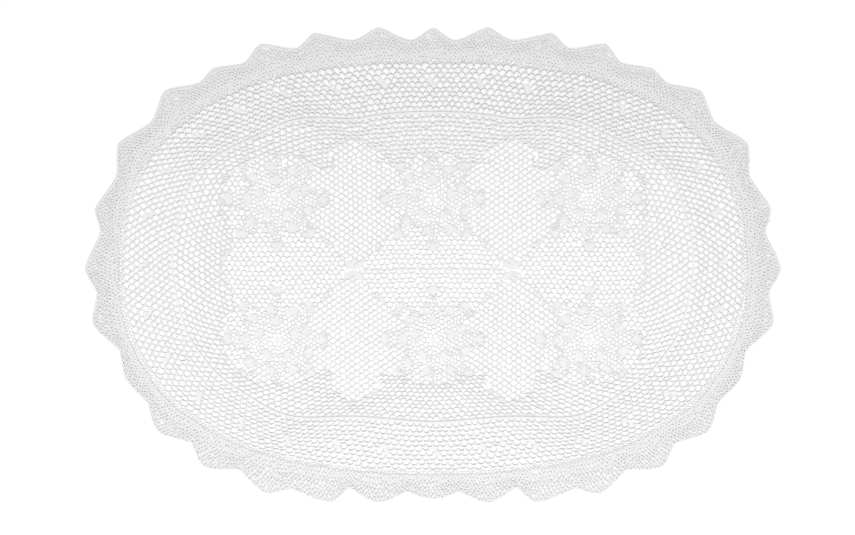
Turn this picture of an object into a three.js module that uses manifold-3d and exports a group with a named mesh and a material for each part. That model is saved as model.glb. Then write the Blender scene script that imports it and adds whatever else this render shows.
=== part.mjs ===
// Oval crocheted tablecloth lying flat: one openwork sheet with a scalloped edge.
// Millimetres, +Z up. The origin is on the underside at the middle, with +X along the length.
import * as THREE from 'three';
import { mergeVertices } from 'three/addons/utils/BufferGeometryUtils.js';
import Module from 'manifold-3d';

// Driving dimensions
const NET_THICKNESS = 2;         // the net, two strands deep at a stitch
const RAISED = 0.8;              // how far solid stitches stand above the net
const ROOTED = 1;                // how deep a raised piece is rooted in the net
const NET = { along: 28, across: 22, open: 0.64 };   // the net's gaps, cut at twice their pitch
const STAR = { x: 182, y: -9, eyelets: 8, radius: 17, length: 10, width: 7 };
const ARMS = { angles: [45, 135, 225, 315], start: 28, length: 78, width: 9 };
const RIB_WIDTH = 5;             // the straight rib that joins the two stars
const ARCH_WIDTH = 10;           // the chevron of solid stitches that ends a sector
const RING = { width: 12, steps: 64 };
const BAND = { lengthwise: 722, crosswise: 478, power: 2.45, gaps: 64, length: 23, width: 14 };
const SIDE_STEPS = 4;            // outline points on each side of a scallop

// Scallops of the right half, clockwise from the top: each one's tip and the dip after it.
// full is 0 for a pointed scallop with soft dips and 1 for a round fan with sharp dips.
const SCALLOPS = [
  { tipX: 0, tipY: 546, dipX: 50, dipY: 518, full: 0.2 },
  { tipX: 127, tipY: 546, dipX: 183, dipY: 515, full: 0.2 },
  { tipX: 273, tipY: 534, dipX: 313, dipY: 499, full: 0.3 },
  { tipX: 398, tipY: 508, dipX: 434, dipY: 465, full: 0.3 },
  { tipX: 506, tipY: 454, dipX: 537, dipY: 419, full: 0.4 },
  { tipX: 617, tipY: 400, dipX: 647, dipY: 329, full: 0.4 },
  { tipX: 724, tipY: 277, dipX: 729, dipY: 202, full: 0.4 },
  { tipX: 778, tipY: 130, dipX: 766, dipY: 73, full: 0.4 },
  { tipX: 800, tipY: -8, dipX: 772, dipY: -61, full: 0.5 },
  { tipX: 783, tipY: -132, dipX: 722, dipY: -194, full: 0.5 },
  { tipX: 709, tipY: -259, dipX: 656, dipY: -314, full: 0.6 },
  { tipX: 631, tipY: -380, dipX: 558, dipY: -406, full: 0.7 },
  { tipX: 528, tipY: -459, dipX: 445, dipY: -469, full: 0.7 },
  { tipX: 386, tipY: -523, dipX: 326, dipY: -512, full: 0.7 },
  { tipX: 235, tipY: -541, dipX: 191, dipY: -510, full: 0.7 },
  { tipX: 127, tipY: -546, dipX: 59, dipY: -519, full: 0.7 },
  { tipX: 0, tipY: -535, full: 1 },
];

// The wavy ring's right half, from the top to the bottom.
const RING_PATH = [
  { x: 0, y: 352 }, { x: 122, y: 345 }, { x: 191, y: 336 }, { x: 317, y: 334 }, { x: 430, y: 286 },
  { x: 529, y: 226 }, { x: 573, y: 138 }, { x: 598, y: 10 }, { x: 575, y: -130 }, { x: 524, y: -216 },
  { x: 455, y: -280 }, { x: 329, y: -345 }, { x: 168, y: -347 }, { x: 0, y: -361 },
];

// Plain net sectors round the right star: their direction in degrees, and how far from the star
// they are widest and end. Only the sector between the stars has no arch at its end.
const SECTORS = [
  { turn: 90, widest: 258, reach: 304, half: 80, arch: true },
  { turn: -90, widest: 256, reach: 302, half: 80, arch: true },
  { turn: 0, widest: 250, reach: 318, half: 54, arch: true },
  { turn: 180, widest: 150, reach: 178, half: 60, arch: false },
];

// The six flowers stand in three columns and two rows.
const FLOWER = {
  columns: [-360, 0, 360], rows: [154, -170], heart: 26, petals: 8,
  petalRadius: 66, petalLength: 52, petalWidth: 30, eyeletRadius: 30, eyeletLength: 11, eyeletWidth: 7,
};

const radians = THREE.MathUtils.degToRad;
const mirrored = ({ x, y }) => ({ x: -x, y });

// A hexagon's corners, its longest line turned by an angle in radians.
function hexagon(x, y, length, width, turn) {
  const corners = [[0.5, 0], [0.25, 0.5], [-0.25, 0.5], [-0.5, 0], [-0.25, -0.5], [0.25, -0.5]];
  return corners.map(([along, across]) => new THREE.Vector2(along * length, across * width)
    .rotateAround(new THREE.Vector2(), turn).add(new THREE.Vector2(x, y)));
}

// A scallop's points from the dip before it, over its tip, to just short of the dip after it.
function scallop(before, tip, after, full) {
  const chord = after.clone().sub(before);
  const along = chord.clone().normalize();
  const out = new THREE.Vector2(-along.y, along.x);
  const toTip = tip.clone().sub(before);
  const lean = toTip.dot(along);
  const height = toTip.dot(out);
  const points = [];
  for (let step = 0; step < 2 * SIDE_STEPS; step++) {
    const climb = step / SIDE_STEPS;
    const side = climb <= 1 ? climb : 2 - climb;
    const distance = climb <= 1 ? lean * side : chord.length() - (chord.length() - lean) * side;
    const quarter = Math.sin(side * Math.PI / 2);
    const rise = height * THREE.MathUtils.lerp(quarter ** 2, quarter, full);
    points.push(before.clone().addScaledVector(along, distance).addScaledVector(out, rise));
  }
  return points;
}

// The whole scalloped outline, clockwise, from the right half and its mirror image.
function outline() {
  const right = SCALLOPS.map((row) => ({
    tip: new THREE.Vector2(row.tipX, row.tipY),
    after: new THREE.Vector2(row.dipX ?? -SCALLOPS.at(-2).dipX, row.dipY ?? SCALLOPS.at(-2).dipY),
    full: row.full,
  }));
  const flip = (point) => new THREE.Vector2(-point.x, point.y);
  const left = right.slice(1, -1).reverse().map((row) => ({
    tip: flip(row.tip),
    after: flip(right[right.indexOf(row) - 1].after),
    full: row.full,
  }));
  const all = [...right, ...left];
  return all.flatMap((row, index) => scallop(all.at(index - 1).after, row.tip, row.after, row.full));
}

// A place in a sector, from its distance along and across the sector, on the right or left star.
function sectorPlace(sector, along, across, side) {
  const turn = radians(sector.turn);
  return new THREE.Vector2(
    side * (STAR.x + along * Math.cos(turn) - across * Math.sin(turn)),
    STAR.y + along * Math.sin(turn) + across * Math.cos(turn),
  );
}

// The sector's half width at a distance from the star.
function sectorHalf(sector, along) {
  if (along < sector.widest) return sector.half * along / sector.widest;
  return sector.half * (sector.reach - along) / (sector.reach - sector.widest);
}

// The staggered net gaps of one sector.
function sectorGaps(sector, side) {
  const gaps = [];
  const columns = Math.ceil(sector.half / NET.across);
  for (let column = -columns; column < columns; column++) {
    const across = (column + 0.5) * NET.across;
    const stagger = column % 2 ? NET.along / 2 : 0;
    for (let along = NET.along + stagger; along < sector.reach; along += NET.along) {
      if (Math.abs(across) + NET.across / 2 > sectorHalf(sector, along)) continue;
      const { x, y } = sectorPlace(sector, along, across, side);
      gaps.push(hexagon(x, y, NET.along * NET.open, NET.across * NET.open, radians(sector.turn)));
    }
  }
  return gaps;
}

// A wreath of hexagons round a centre, each pointing outwards.
function wreath(centre, count, radius, length, width, offset = 0) {
  return Array.from({ length: count }, (_, index) => {
    const turn = (index + offset) / count * 2 * Math.PI;
    return hexagon(
      centre.x + radius * Math.cos(turn), centre.y + radius * Math.sin(turn), length, width, turn);
  });
}

// One round of net gaps beside the edging, evenly spaced along a flattened oval.
function bandGaps() {
  const squarer = (value) => Math.sign(value) * Math.abs(value) ** (2 / BAND.power);
  const oval = new THREE.CatmullRomCurve3(Array.from({ length: 4 * BAND.gaps }, (_, index) => {
    const turn = index / (4 * BAND.gaps) * 2 * Math.PI;
    return new THREE.Vector3(
      BAND.lengthwise * squarer(Math.cos(turn)), BAND.crosswise * squarer(Math.sin(turn)), 0);
  }), true);
  return Array.from({ length: BAND.gaps }, (_, index) => {
    const place = oval.getPointAt((index + 0.5) / BAND.gaps);
    const ahead = oval.getTangentAt((index + 0.5) / BAND.gaps);
    return hexagon(place.x, place.y, BAND.length, BAND.width, Math.atan2(ahead.y, ahead.x));
  });
}

// Both sides of the wavy ring: an outer loop, and an inner one that runs the other way.
function ringLoops() {
  const left = RING_PATH.slice(1, -1).reverse().map(mirrored);
  const path = new THREE.CatmullRomCurve3(
    [...RING_PATH, ...left].map(({ x, y }) => new THREE.Vector3(x, y, 0)), true);
  const loop = (offset) => Array.from({ length: RING.steps }, (_, index) => {
    const place = path.getPointAt(index / RING.steps);
    const ahead = path.getTangentAt(index / RING.steps);
    return new THREE.Vector2(place.x - ahead.y * offset, place.y + ahead.x * offset);
  });
  return { outer: loop(RING.width / 2), inner: loop(-RING.width / 2).reverse() };
}

// A straight raised bar between two distances from a star.
function bar(sector, start, end, width, side) {
  const corners = [[start, -width / 2], [end, -width / 2], [end, width / 2], [start, width / 2]];
  return corners.map(([along, across]) => sectorPlace(sector, along, across, side));
}

// The chevron of solid stitches round a sector's end.
function arch(sector, side) {
  const { widest, reach, half } = sector;
  const corners = [
    [widest, half], [reach, 0], [widest, -half],
    [widest - ARCH_WIDTH, -half], [reach - ARCH_WIDTH, 0], [widest - ARCH_WIDTH, half],
  ];
  return corners.map(([along, across]) => sectorPlace(sector, along, across, side));
}

// An upright slab of an outline and its holes.
function slab(points, holes, bottom, height) {
  const shape = new THREE.Shape(points);
  shape.holes = holes.map((hole) => new THREE.Path(hole));
  const geometry = new THREE.ExtrudeGeometry(shape, { depth: height, bevelEnabled: false });
  return geometry.translate(0, 0, bottom);
}

const wasm = await Module();
wasm.setup();

function toSolid(geometry) {
  const bare = geometry.clone();
  bare.deleteAttribute('normal');
  bare.deleteAttribute('uv');
  const merged = mergeVertices(bare);
  return new wasm.Manifold(new wasm.Mesh({
    numProp: 3,
    vertProperties: new Float32Array(merged.attributes.position.array),
    triVerts: new Uint32Array(merged.index.array),
  }));
}

function toGeometry(solid) {
  const mesh = solid.getMesh();
  const geometry = new THREE.BufferGeometry();
  geometry.setAttribute('position', new THREE.BufferAttribute(mesh.vertProperties, 3));
  geometry.setIndex(new THREE.BufferAttribute(mesh.triVerts, 1));
  geometry.computeVertexNormals();
  return geometry;
}

const sides = [1, -1];
const stars = sides.map((side) => ({ x: side * STAR.x, y: STAR.y }));
const flowers = FLOWER.columns.flatMap((x) => FLOWER.rows.map((y) => ({ x, y })));

// Gaps that go right through: net sectors, star and flower eyelets, and the round beside the edging.
const gaps = [
  ...sides.flatMap((side) => SECTORS.flatMap((sector) => sectorGaps(sector, side))),
  ...stars.flatMap((star) => wreath(star, STAR.eyelets, STAR.radius, STAR.length, STAR.width)),
  ...flowers.flatMap((flower) => wreath(
    flower, FLOWER.petals, FLOWER.eyeletRadius, FLOWER.eyeletLength, FLOWER.eyeletWidth)),
  ...bandGaps(),
];

// Solid stitches that stand above the net.
const { outer, inner } = ringLoops();
const raisedBottom = NET_THICKNESS - ROOTED;
const raisedHeight = ROOTED + RAISED;
const raisedShapes = [
  ...sides.flatMap((side) => ARMS.angles.map(
    (turn) => bar({ turn }, ARMS.start, ARMS.start + ARMS.length, ARMS.width, side))),
  bar({ turn: 180 }, ARMS.start, 2 * STAR.x - ARMS.start, RIB_WIDTH, 1),
  ...sides.flatMap((side) => SECTORS.filter((sector) => sector.arch).map((sector) => arch(sector, side))),
  ...flowers.map((flower) => hexagon(flower.x, flower.y, FLOWER.heart, FLOWER.heart, 0)),
  ...flowers.flatMap((flower) => wreath(
    flower, FLOWER.petals, FLOWER.petalRadius, FLOWER.petalLength, FLOWER.petalWidth, 0.5)),
];

let cloth = toSolid(slab(outline(), gaps, 0, NET_THICKNESS));
cloth = cloth.add(toSolid(slab(outer, [inner], raisedBottom, raisedHeight)));
for (const points of raisedShapes) {
  cloth = cloth.add(toSolid(slab(points, [], raisedBottom, raisedHeight)));
}

const cotton = new THREE.MeshStandardMaterial({ color: 0xf2f1ee, roughness: 0.95, metalness: 0 });
const tablecloth = new THREE.Mesh(toGeometry(cloth), cotton);
tablecloth.name = 'tablecloth';

const part = new THREE.Group();
part.add(tablecloth);

export default part;
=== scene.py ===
"""Oval crocheted tablecloth, laid flat on a pale floor.

Every strand is a tube of cotton yarn. The cloth is worked from the middle out: two stars with plain net
sectors, six flowers, an inner net band, a wavy ring, an outer net band and a dense edging of scallops.
Shapes are given in millimetres and built in metres. +X is along the cloth, +Y towards the pointed scallops.
"""
import math

import bpy
import numpy as np
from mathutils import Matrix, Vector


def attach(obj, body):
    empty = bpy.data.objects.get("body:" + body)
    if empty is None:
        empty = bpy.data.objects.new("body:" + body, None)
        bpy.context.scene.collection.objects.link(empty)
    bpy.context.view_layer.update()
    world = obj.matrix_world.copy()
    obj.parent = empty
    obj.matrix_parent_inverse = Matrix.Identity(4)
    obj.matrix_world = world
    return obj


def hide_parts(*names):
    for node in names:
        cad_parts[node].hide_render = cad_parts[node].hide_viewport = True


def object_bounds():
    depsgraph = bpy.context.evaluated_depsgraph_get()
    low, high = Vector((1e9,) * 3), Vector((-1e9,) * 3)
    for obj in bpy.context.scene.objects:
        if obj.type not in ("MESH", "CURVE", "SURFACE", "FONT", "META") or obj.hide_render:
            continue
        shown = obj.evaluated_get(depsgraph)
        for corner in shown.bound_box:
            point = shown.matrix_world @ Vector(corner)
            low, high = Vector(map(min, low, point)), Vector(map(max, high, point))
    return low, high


MM = 0.001
SEED = 7
TINY = 1e-9

# Half the width of a strand.
NET_YARN = 2.3
OUTER_YARN = 2.6
FINE_YARN = 1.1
STAR_YARN = 1.7
ROSE_YARN = 1.4
POST_YARN = 1.7
CHAIN_YARN = 1.1
RIB_YARN = 1.2
RIM_YARN = 1.6

# Thickness of a strand as a share of its width: rounder in the nets, and flat where stitches are dense.
ROUND = 0.5
OUTER_ROUND = 0.41
FLAT = 0.15
# Strands flatter than this are shaded with their facets.
FLAT_BELOW = 0.4
TUBE_SIDES = 5

# Darkest and lightest tone of the yarn. The motif and edge tones are darker copies of the same yarn: painted
# shade for the small shadows that dense stitches hold, which make them look darker than the net.
YARN_AND_PAINTED_SHADE_TONES = {"net": (0.81, 0.86), "motif": (0.79, 0.83), "edge": (0.75, 0.79)}
WARMTH = 0.005

# Points along one loop of the net, from its foot over its top to the next foot.
LOOP_STEPS = np.array([0, 0.06, 0.18, 0.5, 0.82, 0.94])
LOOP_SQUARENESS = 4
KNOT_REACH = 0.05
KNOT = np.exp(-((np.minimum(LOOP_STEPS, 1 - LOOP_STEPS) / KNOT_REACH) ** 2))
# Two legs share one foot, so each is thinner there than the top of the loop.
LEGS = np.array([0.5, 0.55, 0.8, 1.05, 0.8, 0.55])
# Height of a strand, and how much higher it is at a knot, where it leans, and at the top of its loop.
STRAND_LIFT = 0.2
KNOT_LIFT = 0.7
LEAN_LIFT = 0.3
TOP_LIFT = 0.5
CHAIN_LIFT = STRAND_LIFT + KNOT_LIFT / 2
# How uneven the loops are. The place is in millimetres, and the others are shares.
LOOP_UNEVEN = {"rise": 0.1, "place": 0.5, "thickness": 0.1}
# The net is fuller towards its top edge: where this begins and ends, and how many times as thick it gets.
FULL_CHANGE = (200, 340)
FULLER = (1, 1.27)

# Tall stitches: the distance between them, their height, and their thickness at foot, middle and head.
POST_SPACING = 2.4
POST_LIFT = 1.0
POST_SHAPE = np.array([1.05, 0.97, 1.1])
POST_UNEVEN = 0.04
# Height of a leaf of tall stitches at its foot, in its middle and at its head, and how pointed it is.
LEAF_LIFT = (0.4, 0.6, 0.4)
LEAF_POINT = 0.75

# Points of a stored curve to a loop.
LOOP_POINTS = 8

# The right star, its eye, and the leaves round it.
STAR = (182, -9)
STAR_RADIUS = 15
EYE = {"radius": 4, "points": 40}
LEAVES = {"angles": (45, 90, 135, 225, 270, 315), "start": 6, "end": 30, "width": 10}
RIB_STEPS = 30

# Sectors that end in an arch: direction from the right star, where widest, how far they reach, half width.
SECTORS = [(90, 274, 303, 58), (-90, 274, 303, 58), (0, 290, 310, 44)]
ARCH_WIDTH = 5
ARCH_POINTS = 13
# Loops of the net round a star: length along the row, and distance between rows.
SECTOR_NET = (14, 10.7)
# Loops in a row and rows in a sector, enough to reach past the medallion.
SECTOR_LOOPS = 28
SECTOR_ROWS = 60

# Middles of the flowers, half their length and width, and the radius of their solid heart.
FLOWER_COLUMNS = (-360, 0, 360)
FLOWER_ROWS = (154, -170)
FLOWER_SIZE = (130, 108)
FLOWER_HEART = 6
# Small loops of the net in a flower: length along the round, and distance between rounds.
FLOWER_NET = (9.6, 8.6)
# How far they reach as a share of the flower's size, further along its lobes and less between them.
FLOWER_MIDDLE = 0.7
FLOWER_OVERLAP = 0.06
FLOWER_WAVE = 0.2
FLOWER_LOBES = 8
# Rings of petals: inner and outer radius, how many, the share of the turn they fill, and their offset.
PETALS = [
    (32, 54, 5, 0.45, 0.25),
    (66, 90, 9, 0.45, 0.5),
    (100, 122, 8, 0.3, 0.0),
]
# How far a petal is shifted in or out, with room for this many in a ring, and how pointed it is.
PETAL_SHIFT = 4
MOST_PETALS = 16
PETAL_POINT = 0.6
# The net stops at this share of a petal, so that the petal's rim lies on it.
PETAL_INSIDE = 0.8

# The oval that the flowers and sectors fill, and the net band between it and the wavy ring.
CORE = {"lengthwise": 465, "crosswise": 245, "power": 3, "middle": -8}
INNER_ROWS = 11
INNER_LOOPS = 48

# How far one net reaches over the next where they meet.
OVERLAP = 4

# Right half of the wavy ring, clockwise from the top.
RING_PATH = [
    (0, 352), (122, 345), (191, 336), (317, 334), (430, 286), (529, 226), (573, 138), (598, 10),
    (575, -130), (524, -216), (455, -280), (329, -345), (168, -347), (0, -361),
]
RING_WIDTH = 5
RING_LIFT = 3.0
RING_STEPS = 400

# The net band outside the ring: its outer edge, its rows, and rows of half the size along that edge.
BAND = {"lengthwise": 722, "crosswise": 478, "power": 2.45}
OUTER_ROWS = 11
OUTER_LOOPS = 56
FINE_ROWS = 2
# Cells with a cluster, one of each kind to a scallop: row, and shift along it in loops.
CLUSTER_CELLS = [(5, -0.5), (6, -1.0)]
# Width of a cluster, its ends as parts of a row, and how near to its middle a loop is left out.
CLUSTER_WIDTH = 14
CLUSTER_ENDS = (-0.1, 1.1)
CLUSTER_ROOM = 1.5

# Right half of the scallops, clockwise from the top: tip, the dip after it, and how round the fan is.
SCALLOPS = [
    ((0, 546), (50, 518), 0.2), ((127, 546), (183, 515), 0.2), ((273, 534), (313, 499), 0.3),
    ((398, 508), (434, 465), 0.3), ((506, 454), (537, 419), 0.4), ((617, 400), (647, 329), 0.4),
    ((724, 277), (729, 202), 0.4), ((778, 130), (766, 73), 0.4), ((800, -8), (772, -61), 0.5),
    ((783, -132), (722, -194), 0.5), ((709, -259), (656, -314), 0.6), ((631, -380), (558, -406), 0.7),
    ((528, -459), (445, -469), 0.7), ((386, -523), (326, -512), 0.7), ((235, -541), (191, -510), 0.7),
    ((127, -546), (59, -519), 0.7), ((0, -535), (-59, -519), 1.0),
]
SCALLOP_COUNT = 2 * len(SCALLOPS) - 2
SCALLOP_STEPS = 24
# A pointed scallop rises along this part of a cosine.
POINTED_TURN = 0.8 * np.pi

# Small loops of the edging: length, rounds, points along one, the height of these points, how far all of
# them are sunk, and how uneven the loops are.
EDGE_LOOP = 8.8
EDGE_ROWS = 8
EDGE_STEPS = np.array([0, 0.2, 0.5, 0.8])
EDGE_BUMPS = np.array([0.9, 0.3, 0.0, 0.3])
EDGE_SUNK = 0.4
EDGE_UNEVEN = {"rise": 0.12, "row": 0.16, "place": 0.12, "bumps": 0.25, "thickness": 0.08}
# The edging's inner rounds are smooth, and its outer ones have small holes. The rounds between which this
# changes, and before and after it half the width of a strand, its roundness and its height.
EDGE_CHANGE = (2, 4.5)
EDGE_YARN = (2.9, 1.8)
EDGE_ROUND = (0.15, 0.25)
EDGE_LIFT = (1.2, 2.2)
# How far the last round lies inside the outline, and how far picots stick out as a share of the edging.
EDGE_INSET = 2.5
PICOT = 0.03
# The chain along the outer side lies between the stitches at the bottom, and on top of them further up.
RIM_CHANGE = (-300, 0)
RIM_LIFT = (0.5, 3.2)

# Slow waves that shift the net along and across: height, length along, length across, and phase.
WAVES_ALONG = [(1.1, 47, 61, 0), (0.9, 31, -37, 1.3)]
WAVES_ACROSS = [(1.1, 39, -53, 0.7), (0.9, 67, 29, 0)]
# The shift along fades out towards the middle line, over about this distance.
WAVE_EASE = 60
# Points this close to the middle line belong to the right half.
MIDDLE_ROOM = 0.01

# Map of a piece as seen from above: the room it takes up, its margin, and the shift of its underside.
MAP_ROOM = (0.48, 0.98)
MAP_MARGIN = 0.01
MAP_SHIFT = 0.5
# A face belongs to the underside if its normal is lower than this.
LOOKS_DOWN = -0.01

# The photograph is 855 pixels wide, and the cloth takes up 696 of them, a little right of its middle.
PHOTO_WIDTH = 855
CLOTH_WIDTH = 696
CLOTH_OFFSET = (5.5, 1.0)
CAMERA_HEIGHT = 3.6
SENSOR = 36

# The room, in metres: a pale floor, a soft square light on the near side, and the brightness of the sky.
FLOOR_HALF = 15
FLOOR_TONE = 0.97
LIGHT_PLACE = (0, -4.1, 3.4)
LIGHT_POWER = 135
LIGHT_SIZE = 1.6
SKY = 0.81

random = np.random.default_rng(SEED)
petal_shifts = random.normal(0, PETAL_SHIFT, (len(PETALS), MOST_PETALS))


def by_length(points, count):
    """An open line with the same length in each of its steps."""
    along = np.concatenate([[0], np.cumsum(np.hypot(*np.diff(points, axis=0).T))])
    at = np.linspace(0, along[-1], count + 1)
    return np.stack([np.interp(at, along, points[:, k]) for k in (0, 1)], axis=1)


def mirror(half):
    """A closed line from its right half, which runs from the top to the bottom of the middle line."""
    return np.vstack([half, half[-2:0:-1] * (-1, 1)])


def right_half(closed):
    """The right half of a closed line that starts at the top."""
    return closed[: len(closed) // 2 + 1]


def in_quarters(half, steps):
    """A closed line with the same number of even steps in each quarter."""
    side = np.argmax(half[:, 0])
    return mirror(np.vstack([by_length(half[: side + 1], steps)[:-1], by_length(half[side:], steps)]))


def smooth_half(points, steps=24):
    """A smooth right half through points that start and end on the middle line."""
    p = np.vstack([points[1] * (-1, 1), points, points[-2] * (-1, 1)])
    t = np.linspace(0, 1, steps, endpoint=False)[:, None]
    spans = []
    for a, b, c, d in zip(p, p[1:], p[2:], p[3:]):
        curved = 2 * b + (c - a) * t + (2 * a - 5 * b + 4 * c - d) * t**2 + (3 * b - a - 3 * c + d) * t**3
        spans.append(curved / 2)
    return np.vstack([*spans, points[-1:]])


def oval_half(lengthwise, crosswise, power, middle=0, steps=400):
    """The right half of an oval that is squarer than an ellipse where the power is above 2."""
    turn = np.linspace(0, np.pi, steps)
    x = lengthwise * np.abs(np.sin(turn)) ** (2 / power)
    y = crosswise * np.sign(np.cos(turn)) * np.abs(np.cos(turn)) ** (2 / power)
    return np.stack([x, y + middle], axis=1)


def widened(closed, by):
    """A closed line moved outward."""
    ahead = np.roll(closed, -1, axis=0) - np.roll(closed, 1, axis=0)
    ahead /= np.hypot(*ahead.T)[:, None]
    return closed + by * ahead[:, ::-1] * (-1, 1)


class Rounds:
    """Rounds of a net between two closed lines, with LOOP_POINTS points of each line to a loop."""

    def __init__(self, inner, outer, rows):
        self.inner = inner
        self.outer = outer
        self.rows = rows
        self.loops = len(inner) // LOOP_POINTS

    def place(self, row, loop):
        """Points at row numbers and loop numbers, which may be parts of one."""
        at = np.mod(np.asarray(loop) * LOOP_POINTS, len(self.inner))
        first = np.floor(at).astype(int) % len(self.inner)
        second = (first + 1) % len(self.inner)
        part = (at - np.floor(at))[..., None]
        share = np.asarray(row / self.rows)[..., None]
        low = self.inner[first] * (1 - part) + self.inner[second] * part
        high = self.outer[first] * (1 - part) + self.outer[second] * part
        return low * (1 - share) + high * share


def net_rounds(inside, outside, loops, rows):
    """Rounds of a net between two lines given by their right halves, with the same loops in each quarter."""
    return Rounds(in_quarters(inside, loops * LOOP_POINTS), in_quarters(outside, loops * LOOP_POINTS), rows)


def loop_middles(place, row, number):
    """The middle of each loop of a row."""
    return place(np.full(len(number), row + 0.5), number + 0.5)


def tube_points(xy, height, radius, thickness, closed):
    """Rings of points round the middle lines of tubes."""
    if closed:
        ahead = np.roll(xy, -1, axis=1) - np.roll(xy, 1, axis=1)
    else:
        ahead = np.gradient(xy, axis=1)
    ahead = ahead / np.maximum(np.linalg.norm(ahead, axis=2, keepdims=True), TINY)
    side = ahead[..., ::-1] * (-1, 1)
    # Turned by a quarter of a side, a tube of five sides has an edge on top.
    turn = 2 * np.pi * (np.arange(TUBE_SIDES) + 0.25) / TUBE_SIDES
    ring = xy[:, :, None, :] + side[:, :, None, :] * (radius[..., None] * np.cos(turn))[..., None]
    level = height[..., None] + thickness * radius[..., None] * np.sin(turn)
    return np.concatenate([ring, level[..., None]], axis=3).reshape(-1, 3)


def tube_map(step, last):
    """A map of the walls of tubes: the way along in millimetres, and the share of the way round."""
    start = np.cumsum(step, axis=1) - step
    u = np.stack([start, start, start + step, start + step], axis=2)[:, :last, None, :]
    v = np.arange(TUBE_SIDES)[:, None] + np.array([0, 1, 1, 0])
    shape = (len(step), last, TUBE_SIDES, 4)
    uv = np.stack([np.broadcast_to(u, shape), np.broadcast_to(v / TUBE_SIDES, shape)], axis=4)
    return uv.reshape(-1, 2)


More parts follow.
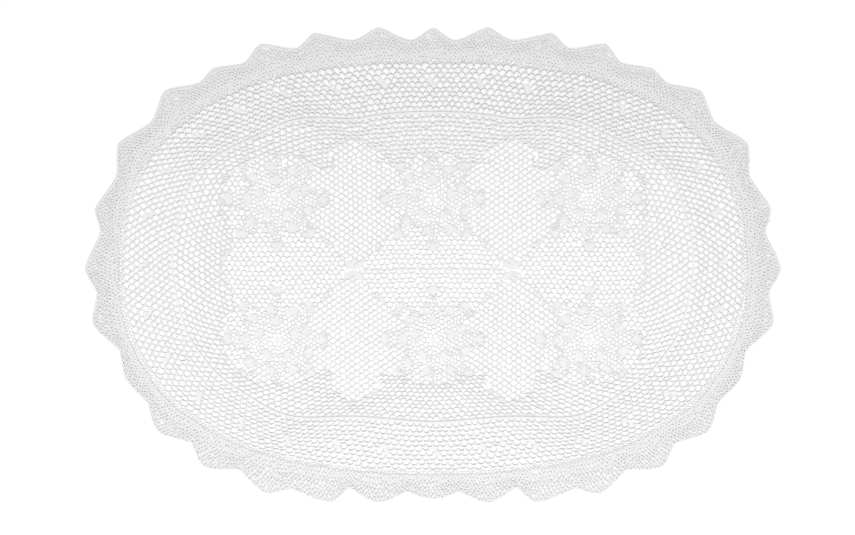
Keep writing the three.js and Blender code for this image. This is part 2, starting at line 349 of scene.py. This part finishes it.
class Yarn:
    """The tubes of one piece of the cloth, and the flat area of their strands."""

    def __init__(self, thickness):
        self.thickness = thickness
        self.points = []
        self.quads = []
        self.caps = []
        self.quad_uv = []
        self.cap_uv = []
        self.rounded = []
        self.count = 0
        self.area = 0.0

    def tubes(self, xy, height, radius, closed=False):
        """Tubes along lines of the same number of points, in an array of lines."""
        lines, steps = xy.shape[:2]
        self.points.append(tube_points(xy, height, radius, self.thickness, closed))
        index = self.count + np.arange(lines * steps * TUBE_SIDES).reshape(lines, steps, TUBE_SIDES)
        self.count += index.size
        last = steps if closed else steps - 1
        step = np.linalg.norm(np.diff(xy, axis=1, append=xy[:, :1]), axis=2)
        self.area += 2 * (radius * step)[:, :last].sum()

        here = index[:, :last]
        there = np.roll(index, -1, axis=1)[:, :last]
        quads = np.stack([here, np.roll(here, -1, 2), np.roll(there, -1, 2), there], axis=3)
        self.quads.append(quads.reshape(-1, 4))
        self.rounded.append(np.full(quads.size // 4, self.thickness > FLAT_BELOW))
        self.quad_uv.append(tube_map(step, last))
        if not closed:
            self.caps += [index[:, 0, ::-1], index[:, -1]]
            self.cap_uv.append(np.zeros((2 * lines * TUBE_SIDES, 2)))

    def net_row(self, place, row, loops, keep, closed=True, start=0.0, radius=NET_YARN):
        """One row of chain loops. Each is held at its feet, and arches over to the next row."""
        number = start + np.arange(loops)
        rise = 1 - np.abs(2 * LOOP_STEPS - 1) ** LOOP_SQUARENESS
        level = row + rise * random.normal(1, LOOP_UNEVEN["rise"], (loops, 1))
        xy = place(level, number[:, None] + LOOP_STEPS)
        xy = xy + random.normal(0, LOOP_UNEVEN["place"], (loops, 1, 2))
        for run in runs(keep(loop_middles(place, row, number)), closed):
            whole = closed and len(run) == loops
            line = xy[run].reshape(-1, 2)
            thick = radius * np.tile(LEGS, len(run))
            lift = np.tile(STRAND_LIFT + KNOT_LIFT * KNOT + TOP_LIFT * rise, len(run))
            if not whole:
                line = np.vstack([line, place(np.array([row]), number[run[-1:]] + 1)])
                thick = np.append(thick, thick[0])
                lift = np.append(lift, lift[0])
            thick *= random.normal(1, LOOP_UNEVEN["thickness"], len(thick))
            thick *= np.interp(line[:, 1], FULL_CHANGE, FULLER)
            height = self.thickness * thick + lift + LEAN_LIFT * leaning(line)
            self.tubes(line[None], height[None], thick[None], whole)

    def small_row(self, place, row, loops, keep, start):
        """One row of close small loops, a little uneven."""
        number = start + np.arange(loops)
        each = (loops, 1)
        rise = 1 - np.abs(2 * EDGE_STEPS - 1) ** 2
        level = row + rise * random.normal(1, EDGE_UNEVEN["rise"], each)
        level = level + random.normal(0, EDGE_UNEVEN["row"], each)
        xy = place(level, number[:, None] + EDGE_STEPS + random.normal(0, EDGE_UNEVEN["place"], each))

        self.thickness = np.interp(row, EDGE_CHANGE, EDGE_ROUND)
        width = np.interp(row, EDGE_CHANGE, EDGE_YARN)
        bumps = np.abs(EDGE_BUMPS + random.normal(0, EDGE_UNEVEN["bumps"], each)) - EDGE_SUNK
        lift = np.interp(row, EDGE_CHANGE, EDGE_LIFT) + bumps * self.thickness / max(EDGE_ROUND)
        for run in runs(keep(loop_middles(place, row, number)), True):
            thick = width * random.normal(1, EDGE_UNEVEN["thickness"], len(run) * len(EDGE_STEPS))
            height = self.thickness * thick + lift[run].ravel()
            self.tubes(xy[run].reshape(1, -1, 2), height[None], thick[None])

    def posts(self, feet, heads, lift=POST_LIFT):
        """Tall stitches, a little thicker at both ends than in the middle."""
        xy = np.stack([feet, (feet + heads) / 2, heads], axis=1)
        thick = POST_YARN * POST_SHAPE * random.normal(1, POST_UNEVEN, (len(feet), 1))
        self.tubes(xy, self.thickness * thick + lift, thick)

    def leaf(self, start, end, width):
        """Tall stitches side by side in the shape of a leaf, raised in its middle."""
        ahead = end - start
        side = ahead[::-1] * (-1, 1) / np.hypot(*ahead)
        across = np.linspace(-1, 1, round(width / POST_SPACING) + 1)[:, None]
        short = (1 - np.sqrt(1 - LEAF_POINT * across**2)) / 2 * ahead
        offset = across * side * width / 2
        self.posts(start + offset + short, end + offset - short, LEAF_LIFT)

    def chain(self, line, radius=CHAIN_YARN, closed=False, lift=CHAIN_LIFT):
        """A plain strand along a line."""
        thick = np.full((1, len(line)), radius)
        self.tubes(line[None], self.thickness * thick + lift, thick, closed)

    def band(self, line, width, lift=POST_LIFT):
        """A row of tall stitches across a line."""
        length = np.hypot(*np.diff(line, axis=0).T).sum()
        line = by_length(line, round(length / POST_SPACING))
        ahead = np.gradient(line, axis=0)
        side = (ahead / np.hypot(*ahead.T)[:, None])[:, ::-1] * (-1, 1) * width / 2
        self.posts(line - side, line + side, lift)

    def piece(self, name, material):
        """The tubes as one mesh object."""
        quads = np.vstack(self.quads).tolist()
        caps = [cap for block in self.caps for cap in block.tolist()]
        mesh = bpy.data.meshes.new(name)
        mesh.from_pydata((settled(np.vstack(self.points)) * MM).tolist(), [], quads + caps)
        rounded = np.concatenate([*self.rounded, np.zeros(len(caps), dtype=bool)])
        mesh.polygons.foreach_set("use_smooth", rounded)
        uv = mesh.uv_layers.new(name="yarn")
        uv.data.foreach_set("uv", np.vstack(self.quad_uv + self.cap_uv).ravel())
        seen_from_above(mesh)
        mesh.materials.append(material)
        return placed(name, mesh)


def placed(name, data):
    """A new object in the scene."""
    obj = bpy.data.objects.new(name, data)
    bpy.context.scene.collection.objects.link(obj)
    return obj


def seen_from_above(mesh):
    """A map of the mesh as seen from above, with the faces that look down in its other half."""
    points = np.array([v.co[:2] for v in mesh.vertices])
    corners = np.empty(len(mesh.loops), dtype=int)
    mesh.loops.foreach_get("vertex_index", corners)
    corner_counts = [len(face.vertices) for face in mesh.polygons]
    down = np.repeat([face.normal.z < LOOKS_DOWN for face in mesh.polygons], corner_counts)
    low, high = points.min(axis=0), points.max(axis=0)
    uv = (points[corners] - low) / (high - low) * MAP_ROOM + MAP_MARGIN
    uv[:, 0] += MAP_SHIFT * down
    mesh.uv_layers.new(name="OFBake", do_init=False).data.foreach_set("uv", uv.ravel())
    mesh.uv_layers.active = mesh.uv_layers["yarn"]


def waves(x, y, parts):
    """The sum of a few slow waves."""
    return sum(high * np.sin(x / along + y / across + phase) for high, along, across, phase in parts)


def settled(points):
    """The small unevenness of handwork: slow waves that shift the net by a millimetre or two."""
    x, y = np.abs(points[:, 0]), points[:, 1]
    ease = x / (x + WAVE_EASE)
    moved = points.copy()
    moved[:, 0] += np.sign(points[:, 0]) * (ease * waves(x, y, WAVES_ALONG))
    moved[:, 1] += waves(x, y, WAVES_ACROSS)
    return moved


def leaning(line):
    """From 0 to 1: strands that lean towards the middle as they rise lie on top of the others."""
    ahead = np.gradient(line, axis=0)
    slope = 2 * ahead[:, 0] * ahead[:, 1] / np.maximum((ahead**2).sum(axis=1), TINY)
    return (1 - np.sign(line[:, 0]) * slope) / 2


def runs(kept, closed):
    """Stretches of neighbouring kept loops, as arrays of their numbers."""
    first = int(np.argmin(kept)) if closed else 0
    found = []
    before = False
    for k in np.roll(np.arange(len(kept)), -first):
        if kept[k] and before:
            found[-1].append(k)
        elif kept[k]:
            found.append([k])
        before = kept[k]
    return [np.array(run) for run in found]


def on_side(points, hand):
    """Whether points lie in the right or the left half."""
    right = points[:, 0] >= -MIDDLE_ROOM
    return right if hand > 0 else ~right


def star_centre(hand):
    """The middle of the right star, or of the mirrored left one."""
    return np.array([STAR[0] * hand, STAR[1]])


def sector_axes(turn, hand):
    """The direction of a sector and the one across it, for the right star or the mirrored left one."""
    turn = math.radians(turn)
    along = np.array([math.cos(turn) * hand, math.sin(turn)])
    across = np.array([-math.sin(turn) * hand, math.cos(turn)])
    return along, across


def in_sector(points, sector, hand):
    """Whether points lie in a sector, which widens from the star and ends in a round arch."""
    turn, widest, reach, half = sector
    along, across = sector_axes(turn, hand)
    offset = points - star_centre(hand)
    far, wide = offset @ along, np.abs(offset @ across)
    left = np.clip((reach - far) / (reach - widest), 0, 1)
    room = half * np.where(far < widest, far / widest, np.sqrt(left))
    return (far > STAR_RADIUS) & (wide < room)


def in_core(points):
    """Whether points lie in the oval that the flowers and sectors fill."""
    x = np.abs(points[:, 0]) / CORE["lengthwise"]
    y = np.abs(points[:, 1] - CORE["middle"]) / CORE["crosswise"]
    return x ** CORE["power"] + y ** CORE["power"] < 1


def in_medallion(points):
    """Whether points lie in the net of the two stars, which the inner band goes round."""
    inside = in_core(points) | (nearest_flower(points)[1] < 1)
    for hand in (1, -1):
        for sector in SECTORS:
            inside |= in_sector(points, sector, hand)
    return inside


def on_leaf(points):
    """Whether points lie on the leaves of a star."""
    found = np.zeros(len(points), dtype=bool)
    for hand in (1, -1):
        offset = points - star_centre(hand)
        for angle in LEAVES["angles"]:
            along, across = sector_axes(angle, hand)
            far, wide = offset @ along, np.abs(offset @ across)
            found |= (far > 0) & (far < LEAVES["end"]) & (wide < LEAVES["width"] / 2)
    return found


def flower_centres():
    """The middles of the six flowers."""
    return np.array([(x, y) for x in FLOWER_COLUMNS for y in FLOWER_ROWS], dtype=float)


def nearest_flower(points):
    """The number of the nearest flower, and how far points are from its middle as a share of its size."""
    away = (points[:, None, :] - flower_centres()) / FLOWER_SIZE
    far = np.hypot(away[..., 0], away[..., 1])
    return far.argmin(axis=1), far.min(axis=1)


def round_flower(points):
    """The distance and the direction of points from the middle of the nearest flower."""
    offset = points - flower_centres()[nearest_flower(points)[0]]
    return np.hypot(*offset.T), np.arctan2(offset[:, 1], offset[:, 0])


def in_flower_middle(points, overlap=0.0):
    """Whether points lie in the part of a flower that has small loops."""
    turn = round_flower(points)[1]
    reach = FLOWER_MIDDLE + overlap + FLOWER_WAVE * np.cos(FLOWER_LOBES * turn)
    return nearest_flower(points)[1] < reach


def in_petal(points):
    """Whether points lie well inside a petal of the nearest flower."""
    far, turn = round_flower(points)
    found = np.zeros(far.shape, dtype=bool)
    for (inner, outer, number, share, offset), shifts in zip(PETALS, petal_shifts):
        place = turn / (2 * np.pi) * number - offset
        middle = np.abs(place - np.round(place))
        shift = shifts[np.round(place).astype(int) % number]
        level = 2 * ((far - inner - shift) / (outer - inner)) - 1
        room = share / 2 * np.sqrt(np.clip(1 - level**2 * PETAL_POINT, 0, 1))
        found |= (np.abs(level) < PETAL_INSIDE) & (middle < PETAL_INSIDE * room)
    return found


def medallion_net(yarn, hand):
    """Plain net in four sectors round a star. The rows run along each sector, and meet on the diagonals."""
    pitch, spacing = SECTOR_NET

    for turn in (0, 90, 180, 270):
        along, across = sector_axes(turn, hand)

        def place(row, loop):
            outward = (loop * pitch)[..., None] * along
            sideways = ((row - SECTOR_ROWS / 2) * spacing)[..., None] * across
            return star_centre(hand) + (outward + sideways)

        def keep(points):
            offset = points - star_centre(hand)
            far, wide = offset @ along, np.abs(offset @ across)
            free = in_medallion(points) & ~on_leaf(points) & ~in_petal(points) & ~in_flower_middle(points)
            return free & on_side(points, hand) & (far > STAR_RADIUS + pitch / 4) & (wide <= far + OVERLAP)

        for row in range(SECTOR_ROWS):
            yarn.net_row(place, row, SECTOR_LOOPS, keep, False, row % 2 / 2, STAR_YARN)


def inner_net(yarn, rounds, hand):
    """The net band between the wavy ring and the medallion."""

    def keep(points):
        outward = points / np.hypot(*points.T)[:, None]
        return ~in_medallion(points + OVERLAP * outward) & on_side(points, hand)

    for row in range(INNER_ROWS):
        yarn.net_row(rounds.place, row, rounds.loops, keep, True, row % 2 / 2)


def flower_net(yarn, number, hand):
    """Rounds of small loops between the petals of one flower."""
    centre = flower_centres()[number]
    pitch, spacing = FLOWER_NET

    def keep(points):
        mine = nearest_flower(points)[0] == number
        return mine & in_flower_middle(points, FLOWER_OVERLAP) & ~in_petal(points) & on_side(points, hand)

    for row in range(1, round(max(FLOWER_SIZE) / spacing)):
        loops = round(2 * np.pi * row * spacing / pitch)

        def place(level, loop):
            turn = 2 * np.pi * loop / loops
            return centre + (level * spacing)[..., None] * np.stack([np.cos(turn), np.sin(turn)], axis=-1)

        yarn.net_row(place, row, loops, keep, True, row % 2 / 2, ROSE_YARN)


def flower(yarn, centre, hand):
    """A small solid middle and rings of petals, all leaves of tall stitches."""
    if on_side(centre[None], hand)[0]:
        yarn.leaf(centre - (FLOWER_HEART, 0), centre + (FLOWER_HEART, 0), 2 * FLOWER_HEART)
    for (inner, outer, number, share, offset), shifts in zip(PETALS, petal_shifts):
        for k in range(number):
            turn = 2 * np.pi * (k + offset) / number
            ray = np.array([math.cos(turn), math.sin(turn)])
            start, end = (centre + ray * (far + shifts[k]) for far in (inner, outer))
            middle = (start + end)[None] / 2
            if in_medallion(middle)[0] and on_side(middle, hand)[0]:
                yarn.leaf(start, end, share * np.pi * (inner + outer) / number)


def star(yarn, hand):
    """A star centre with its leaves, arches and half of the rib between the stars."""
    centre = star_centre(hand)
    circle = np.linspace(0, 2 * np.pi, EYE["points"], endpoint=False)
    yarn.chain(centre + EYE["radius"] * np.stack([np.cos(circle), np.sin(circle)], axis=1), closed=True)
    for angle in LEAVES["angles"]:
        along, _ = sector_axes(angle, hand)
        yarn.leaf(centre + LEAVES["start"] * along, centre + LEAVES["end"] * along, LEAVES["width"])
    for turn, widest, reach, half in SECTORS:
        along, across = sector_axes(turn, hand)
        share = np.linspace(-1, 1, ARCH_POINTS)[:, None]
        arch = centre + (reach - (reach - widest) * share**2) * along + half * share * across
        yarn.band(arch, ARCH_WIDTH)
    rib = np.array([centre - (hand * STAR_RADIUS, 0), (0, STAR[1])])
    yarn.chain(by_length(rib, RIB_STEPS), RIB_YARN)


def ring_half(yarn, line, hand):
    """The right or left half of the wavy ring."""
    for run in runs(on_side(line, hand), True):
        yarn.band(line[run], RING_WIDTH, RING_LIFT)


def outer_net(yarn, rounds, hand):
    """The net band outside the wavy ring, with a few rounds of small loops at its edge."""
    middles = np.vstack([cluster_middles(rounds, row, offset)[1] for row, offset in CLUSTER_CELLS])

    def keep(points):
        near = np.hypot(*(points[:, None] - middles).transpose(2, 0, 1)).min(axis=1)
        return on_side(points, hand) & (near > CLUSTER_ROOM)

    def fine_place(row, loop):
        return rounds.place(OUTER_ROWS - (FINE_ROWS - row) / 2, loop / 2)

    for row in range(OUTER_ROWS - FINE_ROWS // 2):
        yarn.net_row(rounds.place, row, rounds.loops, keep, True, row % 2 / 2, OUTER_YARN)
    for row in range(FINE_ROWS):
        yarn.net_row(fine_place, row, 2 * rounds.loops, keep, True, row % 2 / 2, FINE_YARN)


def cluster_middles(rounds, row, offset):
    """The loop number and the middle of one cell of the outer net inside each scallop."""
    loop = np.arange(0, rounds.loops, rounds.loops / SCALLOP_COUNT) + offset + 0.5
    return loop, rounds.place(np.full(len(loop), row + 0.5), loop)


def clusters(yarn, rounds, hand):
    """A small cluster of tall stitches in the outer net inside each scallop."""
    for row, offset in CLUSTER_CELLS:
        loops, middles = cluster_middles(rounds, row, offset)
        for loop in loops[on_side(middles, hand)]:
            ends = [rounds.place(np.array([row + level]), np.array([loop]))[0] for level in CLUSTER_ENDS]
            yarn.leaf(*ends, CLUSTER_WIDTH)


def scallop_line(before, tip, after, full):
    """A scallop from dip to tip to dip, pointed or as a full round fan."""
    before, tip, after = (np.array(p, dtype=float) for p in (before, tip, after))
    chord = after - before
    lean = ((tip - before) @ chord) / (chord @ chord)
    rise = tip - before - lean * chord
    t = np.linspace(0, 1, SCALLOP_STEPS)
    pointed = (1 - np.cos(POINTED_TURN * t)) / (1 - math.cos(POINTED_TURN))
    height = (1 - full) * pointed + full * np.sin(np.pi * t / 2)
    up = before + np.outer(lean * t, chord) + np.outer(height, rise)
    down = after - np.outer((1 - lean) * t, chord) + np.outer(height, rise)
    return np.vstack([up, down[-2::-1]])


def all_scallops():
    """Scallops clockwise from the top: the dip before each, its tip, the dip after it and its roundness."""
    dips = [dip for _, dip, _ in SCALLOPS[:-1]]
    dips += [(-x, y) for x, y in dips[::-1]]
    tips = [(tip, full) for tip, _, full in SCALLOPS]
    tips += [((-x, y), full) for (x, y), full in tips[-2:0:-1]]
    return [(dips[k - 1], tip, dips[k], full) for k, (tip, full) in enumerate(tips)]


def edging_rounds():
    """The rounds of the edging, from the oval edge of the net out to the scallops."""
    oval = mirror(oval_half(**BAND))
    inner, outer = [], []
    for before, tip, after, full in all_scallops():
        first, last = (np.hypot(*(oval - dip).T).argmin() for dip in (before, after))
        if last < first:
            last += len(oval)
        part = oval[np.arange(first, last + 1) % len(oval)]
        steps = LOOP_POINTS * round(math.dist(before, after) / EDGE_LOOP)
        inner.append(by_length(part, steps)[:-1])
        outer.append(by_length(scallop_line(before, tip, after, full), steps)[:-1])
    return Rounds(np.vstack(inner), widened(np.vstack(outer), -EDGE_INSET), EDGE_ROWS)


def edging(yarn, rounds, hand):
    """Fans of close small loops, with a chain and picots along the outer side."""

    def keep(points):
        return on_side(points, hand)

    for row in range(EDGE_ROWS):
        yarn.small_row(rounds.place, row, rounds.loops, keep, row % 2 / 2)
    loop = np.arange(0, rounds.loops, 0.5)
    line = rounds.place(np.full(len(loop), EDGE_ROWS), loop)
    lift = np.interp(line[:, 1], RIM_CHANGE, RIM_LIFT)
    for run in runs(keep(line), True):
        yarn.chain(line[run], RIM_YARN, lift=lift[run])
    tops = np.arange(rounds.loops) + (EDGE_ROWS - 1) % 2 / 2 + 0.5
    feet, heads = (rounds.place(np.full(len(tops), EDGE_ROWS * k), tops) for k in (1.0, 1 + PICOT))
    mine = keep(feet)
    yarn.posts(feet[mine], heads[mine])


def half_cloth(ring, inner, outer, border, hand):
    """The yarn of each piece of the right or left half."""
    medallion, band = Yarn(ROUND), Yarn(OUTER_ROUND)
    motifs, stars, fans = Yarn(FLAT), Yarn(FLAT), Yarn(FLAT)
    medallion_net(medallion, hand)
    inner_net(medallion, inner, hand)
    for number in range(len(flower_centres())):
        flower_net(medallion, number, hand)
    for centre in flower_centres():
        flower(motifs, centre, hand)
    star(stars, hand)
    ring_half(motifs, ring, hand)
    outer_net(band, outer, hand)
    clusters(motifs, outer, hand)
    edging(fans, border, hand)
    return {"medallion": medallion, "motifs": motifs, "star": stars, "band": band, "edging": fans}


def cloth():
    """The yarn of all pieces of the cloth, by side and then by kind."""
    ring = in_quarters(smooth_half(np.array(RING_PATH, dtype=float)), RING_STEPS)
    inside = right_half(widened(ring, -RING_WIDTH / 2))
    outside = right_half(widened(ring, RING_WIDTH / 2))
    inner = net_rounds(inside, oval_half(**CORE), INNER_LOOPS, INNER_ROWS)
    outer = net_rounds(outside, oval_half(**BAND), OUTER_LOOPS, OUTER_ROWS)
    border = edging_rounds()
    hands = {"right": 1, "left": -1}
    return {side: half_cloth(ring, inner, outer, border, hand) for side, hand in hands.items()}


def cotton(name, dark, light):
    """Matte white cotton: faint patches of tone, and a twisted strand as a bump."""
    material = bpy.data.materials.new(name)
    material.use_nodes = True
    tree = material.node_tree
    shader = tree.nodes["Principled BSDF"]
    shader.inputs["Roughness"].default_value = 0.9
    shader.inputs["Specular IOR Level"].default_value = 0.2
    shader.inputs["Sheen Weight"].default_value = 0.15
    tree.links.new(patches(tree, dark, light), shader.inputs["Base Color"])
    tree.links.new(twist(tree), shader.inputs["Normal"])
    return material


def patches(tree, dark, light):
    """Faint patches between two slightly warm tones."""
    where = tree.nodes.new("ShaderNodeTexCoord")
    noise = tree.nodes.new("ShaderNodeTexNoise")
    noise.inputs["Scale"].default_value = 60
    noise.inputs["Detail"].default_value = 3
    tone = tree.nodes.new("ShaderNodeValToRGB")
    low, high = tone.color_ramp.elements
    low.position = 0.3
    low.color = (dark, dark, dark - WARMTH, 1)
    high.position = 0.7
    high.color = (light, light, light - WARMTH, 1)
    tree.links.new(where.outputs["Object"], noise.inputs["Vector"])
    tree.links.new(noise.outputs["Fac"], tone.inputs["Fac"])
    return tone.outputs["Color"]


def twist(tree):
    """The slanting grooves of twisted yarn."""
    strand = tree.nodes.new("ShaderNodeUVMap")
    strand.uv_map = "yarn"
    scale = tree.nodes.new("ShaderNodeMapping")
    scale.inputs["Scale"].default_value = (0.3, 1, 1)
    wave = tree.nodes.new("ShaderNodeTexWave")
    wave.bands_direction = "DIAGONAL"
    wave.inputs["Scale"].default_value = 1.0
    wave.inputs["Distortion"].default_value = 1.0
    bump = tree.nodes.new("ShaderNodeBump")
    bump.inputs["Strength"].default_value = 0.2
    bump.inputs["Distance"].default_value = 0.0004
    tree.links.new(strand.outputs["UV"], scale.inputs["Vector"])
    tree.links.new(scale.outputs["Vector"], wave.inputs["Vector"])
    tree.links.new(wave.outputs["Fac"], bump.inputs["Height"])
    return bump.outputs["Normal"]


def matte(name, tone):
    """A plain matte grey or white."""
    material = bpy.data.materials.new(name)
    material.use_nodes = True
    shader = material.node_tree.nodes["Principled BSDF"]
    shader.inputs["Base Color"].default_value = (tone, tone, tone, 1)
    shader.inputs["Roughness"].default_value = 1
    shader.inputs["Specular IOR Level"].default_value = 0
    return material


def floor():
    """A wide pale floor under the cloth."""
    mesh = bpy.data.meshes.new("floor")
    corners = [(FLOOR_HALF * x, FLOOR_HALF * y, 0) for x, y in ((-1, -1), (1, -1), (1, 1), (-1, 1))]
    mesh.from_pydata(corners, [], [(0, 1, 2, 3)])
    mesh.materials.append(matte("floor", FLOOR_TONE))
    return placed("floor", mesh)


def light():
    """A soft slanting light from the near side and a pale sky."""
    data = bpy.data.lights.new("near", "AREA")
    data.energy = LIGHT_POWER
    data.size = LIGHT_SIZE
    lamp = placed("near", data)
    lamp.location = LIGHT_PLACE
    lamp.rotation_euler = (math.atan2(-LIGHT_PLACE[1], LIGHT_PLACE[2]), 0, 0)
    lamp.visible_camera = False

    world = bpy.data.worlds.new("sky")
    world.use_nodes = True
    world.node_tree.nodes["Background"].inputs["Color"].default_value = (1, 1, 1, 1)
    world.node_tree.nodes["Background"].inputs["Strength"].default_value = SKY
    bpy.context.scene.world = world


def camera(cloth_length):
    """A camera straight above the cloth, framed as in the photograph."""
    pixel = cloth_length / CLOTH_WIDTH
    data = bpy.data.cameras.new("camera")
    data.sensor_width = SENSOR
    data.lens = SENSOR * CAMERA_HEIGHT / (PHOTO_WIDTH * pixel)
    obj = placed("camera", data)
    obj.location = (-CLOTH_OFFSET[0] * pixel, -CLOTH_OFFSET[1] * pixel, CAMERA_HEIGHT)
    bpy.context.scene.camera = obj


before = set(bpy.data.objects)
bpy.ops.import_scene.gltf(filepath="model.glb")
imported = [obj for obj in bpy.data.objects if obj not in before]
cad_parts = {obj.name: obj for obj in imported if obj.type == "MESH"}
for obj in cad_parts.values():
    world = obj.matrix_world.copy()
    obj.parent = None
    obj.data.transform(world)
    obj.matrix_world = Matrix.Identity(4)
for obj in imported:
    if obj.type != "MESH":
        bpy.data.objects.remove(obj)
cad_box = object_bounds()
# The motif and edge materials are the net's cotton made darker by painted shade.
net, motif, edge = (cotton(f"cotton_{name}", *tone) for name, tone in YARN_AND_PAINTED_SHADE_TONES.items())
materials = {"medallion": net, "band": net, "motifs": motif, "star": motif, "edging": edge}
for side, yarns in cloth().items():
    pieces = {kind: yarn.piece(f"{kind}_{side}", materials[kind]) for kind, yarn in yarns.items()}
    for obj in pieces.values():
        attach(obj, "root")
        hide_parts("tablecloth")
ground = floor()
light()
camera(cad_box[1][0] - cad_box[0][0])
bpy.context.scene.view_settings.view_transform = "Standard"
